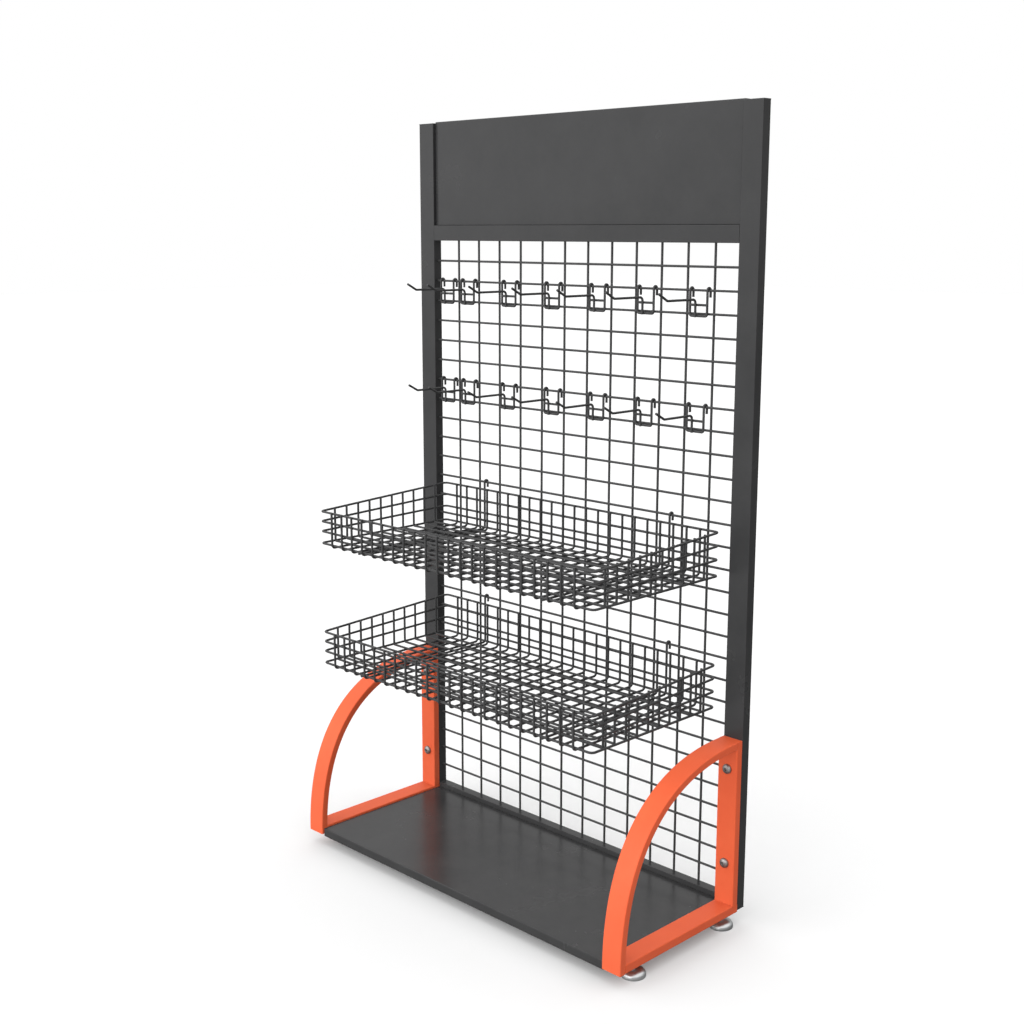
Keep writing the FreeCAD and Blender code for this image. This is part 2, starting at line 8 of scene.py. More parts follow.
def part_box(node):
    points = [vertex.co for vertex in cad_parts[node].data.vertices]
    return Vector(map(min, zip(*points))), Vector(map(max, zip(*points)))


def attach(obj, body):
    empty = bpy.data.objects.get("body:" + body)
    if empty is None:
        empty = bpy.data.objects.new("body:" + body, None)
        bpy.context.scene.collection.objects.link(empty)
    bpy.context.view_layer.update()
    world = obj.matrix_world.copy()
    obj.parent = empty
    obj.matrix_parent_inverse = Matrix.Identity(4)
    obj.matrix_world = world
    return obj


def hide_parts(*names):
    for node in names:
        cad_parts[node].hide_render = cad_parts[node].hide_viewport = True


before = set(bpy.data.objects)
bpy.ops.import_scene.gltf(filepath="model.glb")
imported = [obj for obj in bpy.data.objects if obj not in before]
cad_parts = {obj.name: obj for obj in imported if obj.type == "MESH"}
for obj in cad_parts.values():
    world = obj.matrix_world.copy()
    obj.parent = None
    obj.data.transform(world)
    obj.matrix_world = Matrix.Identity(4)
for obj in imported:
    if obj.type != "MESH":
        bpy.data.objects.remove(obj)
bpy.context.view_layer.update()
print("frame loaded,", len(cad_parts), "nodes")

scene = bpy.context.scene
mm = 0.001
unit = (0.0, 1.0)


# Helpers for node trees of every kind
def newTree(kind, name, inputs, outputs):
    # A group with its sockets, each given as (label, kind)
    tree = bpy.data.node_groups.new(name, kind)
    for way, sockets in (("INPUT", inputs), ("OUTPUT", outputs)):
        for label, socketKind in sockets:
            tree.interface.new_socket(label, in_out=way, socket_type="NodeSocket" + socketKind)
    return tree, tree.nodes.new("NodeGroupInput"), tree.nodes.new("NodeGroupOutput")


def feed(tree, socket, value):
    # Links the output of another node, or sets a plain value
    if isinstance(value, bpy.types.NodeSocket):
        tree.links.new(value, socket)
    else:
        socket.default_value = value


def addNode(tree, kind, values=None, **settings):
    made = tree.nodes.new(kind)
    for label, value in settings.items():
        setattr(made, label, value)
    for label, value in (values or {}).items():
        feed(tree, made.inputs[label], value)
    return made


def addMath(tree, operation, *values):
    made = addNode(tree, "ShaderNodeMath", dict(enumerate(values)), operation=operation)
    return made.outputs[0]


def addRange(tree, value, before, after):
    made = addNode(tree, "ShaderNodeMapRange", {
        "Value": value, "From Min": before[0], "From Max": before[1],
        "To Min": after[0], "To Max": after[1]})
    return made.outputs["Result"]


def addNoise(tree, vector, scale, detail, rough=0.5):
    made = addNode(tree, "ShaderNodeTexNoise", {
        "Vector": vector, "Scale": scale, "Detail": detail, "Roughness": rough})
    return made.outputs["Fac"]


# Shader groups that several finishes share
grainLook = {"peelDetail": 2.0, "peelRough": 0.55, "fineFactor": 3.1, "fineDetail": 1.0,
             "fineShare": 0.35, "mottleDetail": 4.0, "mottleRough": 0.6,
             "mottleFrom": (0.3, 0.7), "speckFrom": (0.60, 0.74)}


def makePowderGrain():
    # Orange peel of a baked powder coat, with a slow mottle and fine specks
    look = grainLook
    tree, source, target = newTree(
        "ShaderNodeTree", "powderGrain",
        [("Vector", "Vector"), ("Peel Scale", "Float"), ("Mottle Scale", "Float")],
        [("Height", "Float"), ("Mottle", "Float"), ("Speck", "Float")])
    vector, peelScale = source.outputs["Vector"], source.outputs["Peel Scale"]
    peel = addNoise(tree, vector, peelScale, look["peelDetail"], look["peelRough"])
    fineScale = addMath(tree, "MULTIPLY", peelScale, look["fineFactor"])
    fine = addNoise(tree, vector, fineScale, look["fineDetail"])
    height = addMath(tree, "MULTIPLY_ADD", fine, look["fineShare"], peel)
    mottle = addNoise(tree, vector, source.outputs["Mottle Scale"],
                      look["mottleDetail"], look["mottleRough"])
    mottle = addRange(tree, mottle, look["mottleFrom"], unit)
    speck = addRange(tree, fine, look["speckFrom"], unit)
    for label, value in (("Height", height), ("Mottle", mottle), ("Speck", speck)):
        tree.links.new(value, target.inputs[label])
    return tree


rubLook = {"stretch": (1.0, 1.0, 0.12), "streak": 70.0, "streakDetail": 3.0, "streakRough": 0.7,
           "streakFrom": (0.62, 0.78), "dustHeights": (0.0, 0.5), "dustShares": (1.0, 0.15),
           "cloud": 14.0, "cloudDetail": 4.0, "cloudRough": 0.6}


def makeRubMarks():
    # Faint scuffs and settled dust, more of it near the floor
    look = rubLook
    tree, source, target = newTree(
        "ShaderNodeTree", "rubMarks", [("Vector", "Vector"), ("Amount", "Float")],
        [("Scuff", "Float"), ("Dust", "Float")])
    vector, amount = source.outputs["Vector"], source.outputs["Amount"]
    stretched = addNode(tree, "ShaderNodeMapping", {"Vector": vector, "Scale": look["stretch"]})
    streak = addNoise(tree, stretched.outputs["Vector"], look["streak"],
                      look["streakDetail"], look["streakRough"])
    streak = addRange(tree, streak, look["streakFrom"], unit)
    height = addNode(tree, "ShaderNodeSeparateXYZ", {"Vector": vector}).outputs["Z"]
    low = addRange(tree, height, look["dustHeights"], look["dustShares"])
    cloud = addNoise(tree, vector, look["cloud"], look["cloudDetail"], look["cloudRough"])
    dust = addMath(tree, "MULTIPLY", low, cloud)
    for label, value in (("Scuff", streak), ("Dust", dust)):
        tree.links.new(addMath(tree, "MULTIPLY", value, amount), target.inputs[label])
    return tree


powderGrain = makePowderGrain()
rubMarks = makeRubMarks()


def newMaterial(name):
    material = bpy.data.materials.new(name)
    material.use_nodes = True
    tree = material.node_tree
    place = tree.nodes.new("ShaderNodeTexCoord").outputs["Object"]
    return material, tree, tree.nodes["Principled BSDF"], place


def placeGroup(tree, group, vector, values):
    placed = tree.nodes.new("ShaderNodeGroup")
    placed.node_tree = group
    for label, value in {"Vector": vector, **values}.items():
        feed(tree, placed.inputs[label], value)
    return placed.outputs


def mixColour(tree, factor, first, second):
    mix = addNode(tree, "ShaderNodeMix", {}, data_type="RGBA")
    tree.links.new(factor, mix.inputs["Factor"])
    for label, value in (("A", first), ("B", second)):
        socket = next(s for s in mix.inputs if s.name == label and s.type == "RGBA")
        feed(tree, socket, (*value, 1.0) if isinstance(value, tuple) else value)
    return next(s for s in mix.outputs if s.type == "RGBA")


def joinShader(tree, shader, colour, rough, height, look):
    # The colour, roughness and relief of a finish go to its shader
    bump = addNode(tree, "ShaderNodeBump", {
        "Height": height, "Strength": look["relief"], "Distance": look["reliefDepth"]})
    tree.links.new(colour, shader.inputs["Base Color"])
    tree.links.new(rough, shader.inputs["Roughness"])
    tree.links.new(bump.outputs["Normal"], shader.inputs["Normal"])


def powderCoat(name, look):
    material, tree, shader, place = newMaterial(name)
    grain = placeGroup(tree, powderGrain, place, {
        "Peel Scale": look["peelScale"], "Mottle Scale": look["mottleScale"]})
    marks = placeGroup(tree, rubMarks, place, {"Amount": look["marks"]})
    colour = mixColour(tree, grain["Mottle"], look["deep"], look["light"])
    specks = addMath(tree, "MULTIPLY", grain["Speck"], look["speck"])
    colour = mixColour(tree, specks, colour, look["speckColour"])
    colour = mixColour(tree, marks["Dust"], colour, look["dustColour"])
    if "bounce" in look:
        # The light this coat throws on what stands near it is toned down towards grey
        rays = tree.nodes.new("ShaderNodeLightPath")
        fade = addMath(tree, "MULTIPLY", rays.outputs["Is Diffuse Ray"], look["bounce"])
        colour = mixColour(tree, fade, colour, look["bounceColour"])
    rough = addRange(tree, grain["Mottle"], unit, look["rough"])
    rough = addMath(tree, "MULTIPLY_ADD", marks["Scuff"], look["scuffRough"], rough)
    shader.inputs["Specular IOR Level"].default_value = look["gloss"]
    joinShader(tree, shader, colour, rough, grain["Height"], look)
    return material


coatRelief = {"reliefDepth": 0.0004, "scuffRough": 0.12}
frameCoat = powderCoat("frameCoat", {
    "deep": (0.035, 0.035, 0.036), "light": (0.045, 0.045, 0.046), "peelScale": 850.0,
    "mottleScale": 7.0, "speck": 0.12, "speckColour": (0.09, 0.09, 0.092),
    "dustColour": (0.10, 0.098, 0.094), "marks": 0.12, "rough": (0.22, 0.28), "relief": 0.05,
    "gloss": 0.18, **coatRelief})
wireCoat = powderCoat("wireCoat", {
    "deep": (0.034, 0.034, 0.035), "light": (0.045, 0.045, 0.046), "peelScale": 1400.0,
    "mottleScale": 22.0, "speck": 0.2, "speckColour": (0.09, 0.09, 0.092),
    "dustColour": (0.11, 0.108, 0.10), "marks": 0.15, "rough": (0.38, 0.48), "relief": 0.18,
    "gloss": 0.3, **coatRelief})
supportCoat = powderCoat("supportCoat", {
    "deep": (0.84, 0.120, 0.042), "light": (0.90, 0.145, 0.054), "peelScale": 850.0,
    "mottleScale": 8.0, "speck": 0.12, "speckColour": (0.90, 0.22, 0.10),
    "dustColour": (0.62, 0.20, 0.11), "marks": 0.14, "rough": (0.44, 0.54), "relief": 0.16,
    "gloss": 0.18, "bounce": 0.75, "bounceColour": (0.32, 0.27, 0.25), **coatRelief})
print("powder coats ready")


def makePlugPlastic():
    look = {"deep": (0.018, 0.018, 0.019), "light": (0.030, 0.030, 0.031), "grain": 2600.0,
            "mottle": 60.0, "rough": (0.5, 0.62), "relief": 0.3, "reliefDepth": 0.0002}
    material, tree, shader, place = newMaterial("plugPlastic")
    grain = placeGroup(tree, powderGrain, place, {
        "Peel Scale": look["grain"], "Mottle Scale": look["mottle"]})
    colour = mixColour(tree, grain["Mottle"], look["deep"], look["light"])
    rough = addRange(tree, grain["Mottle"], unit, look["rough"])
    joinShader(tree, shader, colour, rough, grain["Height"], look)
    return material


def makeZincSteel():
    look = {"deep": (0.23, 0.215, 0.21), "light": (0.33, 0.315, 0.31), "spangle": 420.0,
            "fine": 1500.0, "fineDetail": 2.0, "fineFrom": (0.3, 0.7), "rough": (0.34, 0.50),
            "relief": 0.12, "reliefDepth": 0.0002}
    material, tree, shader, place = newMaterial("zincSteel")
    shader.inputs["Metallic"].default_value = 1.0
    cells = addNode(tree, "ShaderNodeTexVoronoi", {"Vector": place, "Scale": look["spangle"]})
    grey = addNode(tree, "ShaderNodeRGBToBW", {"Color": cells.outputs["Color"]})
    colour = mixColour(tree, grey.outputs["Val"], look["deep"], look["light"])
    fine = addNoise(tree, place, look["fine"], look["fineDetail"])
    rough = addRange(tree, fine, look["fineFrom"], look["rough"])
    joinShader(tree, shader, colour, rough, fine, look)
    return material


def makeFootChrome():
    look = {"deep": (0.44, 0.45, 0.455), "light": (0.60, 0.61, 0.615), "smudge": 90.0,
            "smudgeDetail": 4.0, "smudgeRough": 0.65, "smudgeFrom": (0.3, 0.7),
            "rough": (0.30, 0.42), "wave": 600.0, "waveDetail": 1.0, "relief": 0.05,
            "reliefDepth": 0.0003}
    material, tree, shader, place = newMaterial("footChrome")
    shader.inputs["Metallic"].default_value = 1.0
    smudge = addNoise(tree, place, look["smudge"], look["smudgeDetail"], look["smudgeRough"])
    colour = mixColour(tree, smudge, look["deep"], look["light"])
    rough = addRange(tree, smudge, look["smudgeFrom"], look["rough"])
    wave = addNoise(tree, place, look["wave"], look["waveDetail"])
    joinShader(tree, shader, colour, rough, wave, look)
    return material


plugPlastic = makePlugPlastic()
zincSteel = makeZincSteel()
footChrome = makeFootChrome()
print("plastic and bare metals ready")

# Edges that turn by more degrees than these stay sharp
sharpFrom = {"tube": 35.0, "pan": 30.0, "bentBar": 30.0, "wire": 50.0, "turned": 32.0, "nut": 28.0}
# A face this many times as wide as the one beside it stays even right up to their edge
flatShare = 12


def smoothByAngle(mesh, degrees, keepFlats=False):
    shape = bmesh.new()
    shape.from_mesh(mesh)
    for face in shape.faces:
        face.smooth = True
    for edge in shape.edges:
        joined = len(edge.link_faces) == 2
        edge.smooth = joined and edge.calc_face_angle(0.0) < math.radians(degrees)
        if keepFlats and edge.smooth:
            areas = sorted(face.calc_area() for face in edge.link_faces)
            edge.smooth = areas[1] < flatShare * areas[0]
    shape.to_mesh(mesh)
    shape.free()


def meshFrom(shape, name):
    bmesh.ops.recalc_face_normals(shape, faces=shape.faces)
    mesh = bpy.data.meshes.new(name)
    shape.to_mesh(mesh)
    shape.free()
    return mesh


def bridge(shape, loop, other):
    # Faces between two loops of points, either of which may be a single point
    count = max(len(loop), len(other))
    for k in range(count):
        m = (k + 1) % count
        corners = [loop[k % len(loop)], loop[m % len(loop)],
                   other[m % len(other)], other[k % len(other)]]
        shape.faces.new(list(dict.fromkeys(corners)))


def addObject(name, data):
    made = bpy.data.objects.new(name, data)
    scene.collection.objects.link(made)
    return made


def bakedMesh(helper, name):
    # The plain mesh that a helper and its modifier give; the helper goes
    graph = bpy.context.evaluated_depsgraph_get()
    mesh = bpy.data.meshes.new_from_object(helper.evaluated_get(graph))
    bpy.data.objects.remove(helper)
    mesh.name = name
    return mesh


def addPiece(name, mesh, material, *nodes):
    if not mesh.materials:
        mesh.materials.append(material)
    piece = addObject(name, mesh)
    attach(piece, "root")
    if nodes:
        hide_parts(*nodes)
    return piece


# Box tubes
boxTube = {"corner": {"frameCoat": 1.3 * mm, "supportCoat": 2.4 * mm}, "innerRadius": 0.3 * mm,
           "wall": 1.5 * mm, "cornerSteps": 6, "endEase": 0.3 * mm}


def roundedOutline(halfWide, halfHigh, radius):
    points = []
    steps = boxTube["cornerSteps"]
    for signX, signY, start in ((1, 1, 0), (-1, 1, 90), (-1, -1, 180), (1, -1, 270)):
        for k in range(steps + 1):
            angle = math.radians(start + 90 * k / steps)
            points.append((signX * (halfWide - radius) + radius * math.cos(angle),
                           signY * (halfHigh - radius) + radius * math.sin(angle)))
    return points


def tubeAlong(name, axis, material, lid=False):
    # Hollow tube with rolled corners over the box of its node, its upper end open or welded shut
    low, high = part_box(name)
    middle, span = (low + high) / 2, high - low
    first, second = [(1, 2), (2, 0), (0, 1)][axis]
    wide, tall, half = span[first] / 2, span[second] / 2, span[axis] / 2
    ease, wall, corner = boxTube["endEase"], boxTube["wall"], boxTube["corner"][material.name]
    outer = roundedOutline(wide, tall, corner)
    eased = roundedOutline(wide - ease, tall - ease, corner - ease)
    inner = roundedOutline(wide - wall, tall - wall, boxTube["innerRadius"])
    rings = [(eased, half), (outer, half - ease), (outer, ease - half), (eased, -half),
             (inner, -half), (inner, half - wall if lid else half)]
    shape = bmesh.new()
    loops = []
    for outline, along in rings:
        loop = []
        for a, b in outline:
            spot = Vector(middle)
            spot[first] += a
            spot[second] += b
            spot[axis] += along
            loop.append(shape.verts.new(spot))
        loops.append(loop)
    pairs = list(zip(loops, loops[1:]))
    if lid:
        shape.faces.new(loops[0])
        shape.faces.new(loops[-1])
    else:
        pairs.append((loops[-1], loops[0]))
    for loop, other in pairs:
        bridge(shape, loop, other)
    mesh = meshFrom(shape, name + "Skin")
    smoothByAngle(mesh, sharpFrom["tube"], True)
    return addPiece(name + "Skin", mesh, material, name)


for side in ("left", "right"):
    tubeAlong("upright_" + side, 2, frameCoat)
    tubeAlong("support_leg_" + side, 2, supportCoat, True)
    tubeAlong("support_base_" + side, 1, supportCoat)
tubeAlong("top_rail", 0, frameCoat)
tubeAlong("bottom_rail", 0, frameCoat)
print("box tubes made")

# Folded sheets
foldedSheet = {"thick": 1.2 * mm, "bend": {"header_panel": 1.5 * mm, "base_shelf": 2.2 * mm},
               "bendSteps": 4}


def foldedPan(name, openAxis, openSign, material):
    # Sheet with four lips folded towards its open side
    low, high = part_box(name)
    fitted = Matrix.Translation((low + high) / 2) @ Matrix.Diagonal((*(high - low), 1.0))
    shape = bmesh.new()
    bmesh.ops.create_cube(shape, size=1.0, matrix=fitted)
    shape.faces.ensure_lookup_table()
    openFace = max(shape.faces, key=lambda face: openSign * face.normal[openAxis])
    bmesh.ops.delete(shape, geom=[openFace], context="FACES_ONLY")
    folds = [edge for edge in shape.edges if len(edge.link_faces) == 2]
    bmesh.ops.bevel(shape, geom=folds, offset=foldedSheet["bend"][name],
                    segments=foldedSheet["bendSteps"], profile=0.5, affect="EDGES",
                    clamp_overlap=True)
    maker = addObject(name + "Maker", meshFrom(shape, name + "Sheet"))
    wall = maker.modifiers.new("wall", "SOLIDIFY")
    wall.thickness = foldedSheet["thick"]
    wall.offset = -1.0
    wall.use_even_offset = True
    mesh = bakedMesh(maker, name + "Pan")
    smoothByAngle(mesh, sharpFrom["pan"], True)
    return addPiece(name + "Pan", mesh, material, name)


foldedPan("header_panel", 1, 1.0, frameCoat)
foldedPan("base_shelf", 2, -1.0, frameCoat)
print("folded sheets made")


# Geometry trees that grow wires, bars and rows of hardware
def openTree(name, inputs):
    return newTree("GeometryNodeTree", name, [("Geometry", "Geometry"), *inputs,
                                              ("Finish", "Material")],
                   [("Geometry", "Geometry")])


def closeTree(tree, geometry, source, target):
    real = addNode(tree, "GeometryNodeRealizeInstances", {"Geometry": geometry})
    painted = addNode(tree, "GeometryNodeSetMaterial", {
        "Geometry": real.outputs[0], "Material": source.outputs["Finish"]})
    tree.links.new(painted.outputs[0], target.inputs["Geometry"])
    return tree


def addRing(tree, source):
    made = addNode(tree, "GeometryNodeCurvePrimitiveCircle", {
        "Resolution": source.outputs["Wire Sides"], "Radius": source.outputs["Wire Radius"]})
    return made.outputs["Curve"]


def addSweep(tree, path, section):
    made = addNode(tree, "GeometryNodeCurveToMesh", {
        "Curve": path, "Profile Curve": section, "Fill Caps": True})
    return made.outputs[0]


def makeBentWireTree():
    # Every run of edges becomes round wire, with each corner bent to its own radius
    tree, source, target = openTree("bentWire", [
        ("Wire Radius", "Float"), ("Wire Sides", "Int"), ("Bend Steps", "Int")])
    curve = addNode(tree, "GeometryNodeMeshToCurve", {"Mesh": source.outputs["Geometry"]})
    bend = addNode(tree, "GeometryNodeInputNamedAttribute", {"Name": "bend"}, data_type="FLOAT")
    fillet = addNode(tree, "GeometryNodeFilletCurve", {
        "Curve": curve.outputs[0], "Count": source.outputs["Bend Steps"],
        "Radius": bend.outputs["Attribute"], "Limit Radius": True}, mode="POLY")
    wires = addSweep(tree, fillet.outputs[0], addRing(tree, source))
    return closeTree(tree, wires, source, target)


def makeRepeatTree():
    # A copy of one small mesh on each point, turned as the point's own attribute says
    tree, source, target = openTree("repeatOnPoints", [("Item", "Object")])
    item = addNode(tree, "GeometryNodeObjectInfo", {"Object": source.outputs["Item"]},
                   transform_space="ORIGINAL")
    turn = addNode(tree, "GeometryNodeInputNamedAttribute", {"Name": "turn"},
                   data_type="FLOAT_VECTOR")
    angles = addNode(tree, "FunctionNodeEulerToRotation", {"Euler": turn.outputs["Attribute"]})
    copies = addNode(tree, "GeometryNodeInstanceOnPoints", {
        "Points": source.outputs["Geometry"], "Instance": item.outputs["Geometry"],
        "Rotation": angles.outputs[0]})
    return closeTree(tree, copies.outputs[0], source, target)


def makeBackMeshTree():
    # Two layers of straight wires that fill a frame opening
    tree, source, target = openTree("backMesh", [
        ("Opening Width", "Float"), ("Opening Height", "Float"), ("Cells Across", "Int"),
        ("Cells High", "Int"), ("Layer Step", "Float"), ("Wire Radius", "Float"),
        ("Wire Sides", "Int"), ("Centre", "Vector")])
    width, height = source.outputs["Opening Width"], source.outputs["Opening Height"]
    section = addRing(tree, source)

    def layer(length, spread, cells, along, across, back):
        # One wire on the along axis, repeated at even steps on the across axis
        ends = []
        for share in (-0.5, 0.5):
            end = addNode(tree, "ShaderNodeCombineXYZ", {
                along: addMath(tree, "MULTIPLY", length, share)})
            ends.append(end.outputs[0])
        line = addNode(tree, "GeometryNodeCurvePrimitiveLine", {"Start": ends[0], "End": ends[1]})
        wire = addSweep(tree, line.outputs[0], section)
        pitch = addMath(tree, "DIVIDE", spread, cells)
        first = addMath(tree, "ADD", addMath(tree, "MULTIPLY", spread, -0.5), pitch)
        begin = addNode(tree, "ShaderNodeCombineXYZ", {across: first, "Y": back})
        step = addNode(tree, "ShaderNodeCombineXYZ", {across: pitch})
        row = addNode(tree, "GeometryNodeMeshLine", {
            "Count": addMath(tree, "SUBTRACT", cells, 1.0), "Start Location": begin.outputs[0],
            "Offset": step.outputs[0]})
        copies = addNode(tree, "GeometryNodeInstanceOnPoints", {
            "Points": row.outputs[0], "Instance": wire})
        return copies.outputs[0]

    both = tree.nodes.new("GeometryNodeJoinGeometry")
    for wires in (
            layer(height, width, source.outputs["Cells Across"], "Z", "X",
                  source.outputs["Layer Step"]),
            layer(width, height, source.outputs["Cells High"], "X", "Z", 0.0)):
        tree.links.new(wires, both.inputs[0])
    moved = addNode(tree, "GeometryNodeTransform", {
        "Geometry": both.outputs[0], "Translation": source.outputs["Centre"]})
    return closeTree(tree, moved.outputs[0], source, target)


bentWireTree = makeBentWireTree()
repeatTree = makeRepeatTree()
backMeshTree = makeBackMeshTree()
print("geometry trees made")


def grow(name, mesh, tree, values):
    # Runs a tree on a helper object and gives back the plain mesh
    helper = addObject(name + "Helper", mesh)
    modifier = helper.modifiers.new("grow", "NODES")
    modifier.node_group = tree
    for item in tree.interface.items_tree:
        if item.in_out == "INPUT" and item.name in values:
            modifier[item.identifier] = values[item.name]
    return bakedMesh(helper, name)


def wireRuns(runs):
    # One mesh of separate edge runs; each run is (points, bends, closed)
    mesh = bpy.data.meshes.new("wireRuns")
    spots, edges, bends = [], [], []
    for points, radii, closed in runs:
        first, last = len(spots), len(spots) + len(points) - 1
        spots += points
        bends += radii
        edges += [(k, k + 1) for k in range(first, last)]
        if closed:
            edges.append((last, first))
    mesh.from_pydata(spots, edges, [])
    mesh.attributes.new("bend", "FLOAT", "POINT").data.foreach_set("value", bends)
    return mesh


# Back mesh
backMesh = {"front": 206.5 * mm, "layerStep": 4.8 * mm, "wireRadius": 2.75 * mm,
            "wireSides": 10, "cellsAcross": 13, "cellsHigh": 29}
meshLow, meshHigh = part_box("wire_grid")
backMeshData = grow("backMesh", bpy.data.meshes.new("backMeshSeed"), backMeshTree, {
    "Opening Width": meshHigh.x - meshLow.x, "Opening Height": meshHigh.z - meshLow.z,
    "Cells Across": backMesh["cellsAcross"], "Cells High": backMesh["cellsHigh"],
    "Layer Step": backMesh["layerStep"], "Wire Radius": backMesh["wireRadius"],
    "Wire Sides": backMesh["wireSides"], "Finish": wireCoat,
    "Centre": (0.0, backMesh["front"], (meshLow.z + meshHigh.z) / 2)})
smoothByAngle(backMeshData, sharpFrom["wire"])
addPiece("backMesh", backMeshData, wireCoat, "wire_grid")
rowPitch = (meshHigh.z - meshLow.z) / backMesh["cellsHigh"]
print("back mesh made")

# Wires that hook over a level mesh wire
hookedWire = {"reach": 5.4 * mm, "lift": 5.5 * mm, "weld": 4.8 * mm, "radius": 2.75 * mm,
              "sides": 12}
legPlane = backMesh["front"] - hookedWire["reach"]
tailPlane = backMesh["front"] + hookedWire["reach"]


def wirePiece(name, runs, bendSteps, replaced):
    mesh = grow(name, wireRuns(runs), bentWireTree, {
        "Wire Radius": hookedWire["radius"], "Wire Sides": hookedWire["sides"],
        "Bend Steps": bendSteps, "Finish": wireCoat})
    smoothByAngle(mesh, sharpFrom["wire"])
    return addPiece(name, mesh, wireCoat, replaced)


basket = {"halfWidth": 439.8 * mm, "drop": 114.6 * mm, "front": -214.8 * mm,
          "rises": (0.0, 36.4 * mm, 67.0 * mm, 97.3 * mm), "frontShare": 0.8,
          "ringCorner": 10.0 * mm, "wireBend": 8.0 * mm, "crossBend": 3.0 * mm, "bendSteps": 5,
          "longWires": 22, "longPitch": 37.35 * mm, "crossWires": 10, "crossPitch": 36.0 * mm,
          "arm": 298.8 * mm, "armTail": 13.0 * mm, "meshRows": {"upper": 12, "lower": 18}}


def basketRuns(level):
    # The rings, the wires from back to front and from side to side, and the two carrying arms
    weld, share, bend, turn = (hookedWire["weld"], basket["frontShare"], basket["wireBend"],
                               basket["crossBend"])
    back, front, side = legPlane - weld, basket["front"] + weld, basket["halfWidth"]
    bottom, lift = level - basket["drop"], level + hookedWire["lift"]
    runs = []
    for rise in basket["rises"]:
        corners = [(-side, back, bottom + rise), (side, back, bottom + rise),
                   (side, front, bottom + rise * share), (-side, front, bottom + rise * share)]
        runs.append((corners, [basket["ringCorner"]] * 4, True))
    topBack = bottom + basket["rises"][-1] + hookedWire["radius"]
    topFront = bottom + basket["rises"][-1] * share + hookedWire["radius"]
    under = bottom - weld
    for k in range(basket["longWires"]):
        x = (k - (basket["longWires"] - 1) / 2) * basket["longPitch"]
        points = [(x, back - weld, topBack), (x, back - weld, under), (x, front - weld, under),
                  (x, front - weld, topFront)]
        runs.append((points, [0, bend, bend, 0], False))
    for k in range(basket["crossWires"]):
        y = (back + front - weld) / 2 + (k - (basket["crossWires"] - 1) / 2) * basket["crossPitch"]
        top = topBack + (topFront - topBack) * (back - y) / (back - front)
        x = side - weld
        points = [(-x, y, top), (-x, y, bottom), (x, y, bottom), (x, y, top)]
        runs.append((points, [0, turn, turn, 0], False))
    for x in (-basket["arm"], basket["arm"]):
        points = [(x, tailPlane, level - basket["armTail"]), (x, tailPlane, lift),
                  (x, legPlane, lift), (x, legPlane, under), (x, front, under)]
        runs.append((points, [0, hookedWire["reach"], hookedWire["reach"], bend, 0], False))
    return runs


for label, row in basket["meshRows"].items():
    wirePiece("basket" + label.capitalize(), basketRuns(meshHigh.z - row * rowPitch),
              basket["bendSteps"], "basket_" + label)
print("baskets made")

# Single hooks; their places and shifts are in millimetres from the middle of the rack
hook = {"halfWidth": 23.0 * mm, "tail": 15.0 * mm, "drop": 54.5 * mm, "corner": 5.0 * mm,
        "cross": 31.0 * mm, "prongSide": 5.0 * mm, "prongDrop": 19.5 * mm, "prongBend": 8.0 * mm,
        "straight": 100.0 * mm, "reach": 128.5 * mm, "tipDrop": 4.5 * mm, "tipBend": 7.0 * mm,
        "bendSteps": 6, "meshRows": {"upper": 2, "lower": 7},
        "places": (-431.8, -357.9, -211.9, -67.9, 74.2, 217.7, 364.8),
        "shifts": {"upper": {}, "lower": {3: -4.8, 7: -1.7}}}


def hookRuns(x, level):
    # The bent plate with its two hooked tails, the cross wire and the prong
    left, right, bend = x - hook["halfWidth"], x + hook["halfWidth"], hookedWire["reach"]
    lift, tail = level + hookedWire["lift"], level - hook["tail"]
    bottom, cross = level - hook["drop"], level - hook["cross"]
    plate = [(left, tailPlane, tail), (left, tailPlane, lift), (left, legPlane, lift),
             (left, legPlane, bottom), (right, legPlane, bottom), (right, legPlane, lift),
             (right, tailPlane, lift), (right, tailPlane, tail)]
    bends = [0, bend, bend, hook["corner"], hook["corner"], bend, bend, 0]
    rung = [(left, legPlane, cross), (right, legPlane, cross)]
    prongX, prongBack = x - hook["prongSide"], legPlane - hookedWire["weld"]
    prongLevel = level - hook["prongDrop"]
    prong = [(prongX, prongBack, bottom - hookedWire["radius"]), (prongX, prongBack, prongLevel),
             (prongX, legPlane - hook["straight"], prongLevel),
             (prongX, legPlane - hook["reach"], level - hook["tipDrop"])]
    return [(plate, bends, False), (rung, [0, 0], False),
            (prong, [0, hook["prongBend"], hook["tipBend"], 0], False)]


for label, row in hook["meshRows"].items():
    for number, place in enumerate(hook["places"], start=1):
        place += hook["shifts"][label].get(number, 0.0)
        wirePiece("hook%s%d" % (label.capitalize(), number),
                  hookRuns(place * mm, meshHigh.z - row * rowPitch), hook["bendSteps"],
                  "hook_%s_%d" % (label, number))
print("hooks made")

# Bent bars of the side supports
bentBar = {"thick": 17.5 * mm, "backReach": 246.0 * mm, "frontReach": 266.0 * mm, "steps": 56,
           "cornerSteps": 4}


